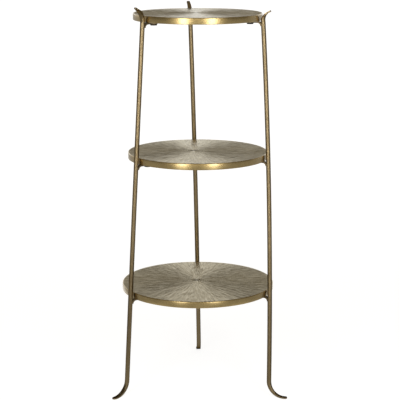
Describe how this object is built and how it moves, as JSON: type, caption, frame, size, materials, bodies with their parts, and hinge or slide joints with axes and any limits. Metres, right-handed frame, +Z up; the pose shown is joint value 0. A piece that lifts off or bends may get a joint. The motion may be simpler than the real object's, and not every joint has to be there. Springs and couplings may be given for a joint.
{
  "type": "tiered side table",
  "caption": "Tall side table: round cast trays in tiers that narrow upwards, bolted to brackets inside bent rod legs with turned-out feet and flared tips.",
  "frame": {"origin": "on the floor, in the middle of the table's outline seen from above; the trays' common axis stands 5 mm to the left of it and 35 mm in front of it", "axes": "+Z up, -Y to the front where the two front legs stand, +X to the right seen from the front"},
  "size_m": [0.4551, 0.4702, 1.009],
  "materials": {
    "rod_brass": "satin antique brass finish on bent iron rod and strip",
    "tray_metal": "antique brass finish on cast aluminium, the top face ribbed by hand from the centre outwards, the rim smooth",
    "black_steel": "satin black"
  },
  "bodies": {
    "root": {"leg_left": "rod_brass", "leg_right": "rod_brass", "leg_back": "rod_brass", "tray_top": "tray_metal", "tray_middle": "tray_metal", "tray_bottom": "tray_metal", "bracket_top_left": "rod_brass", "bracket_top_right": "rod_brass", "bracket_top_back": "rod_brass", "bracket_middle_left": "rod_brass", "bracket_middle_right": "rod_brass", "bracket_middle_back": "rod_brass", "bracket_bottom_left": "rod_brass", "bracket_bottom_right": "rod_brass", "bracket_bottom_back": "rod_brass", "bolts_top": "black_steel", "bolts_middle": "black_steel", "bolts_bottom": "black_steel", "washers_top": "black_steel", "washers_middle": "black_steel", "washers_bottom": "black_steel"}
  },
  "joints": []
}
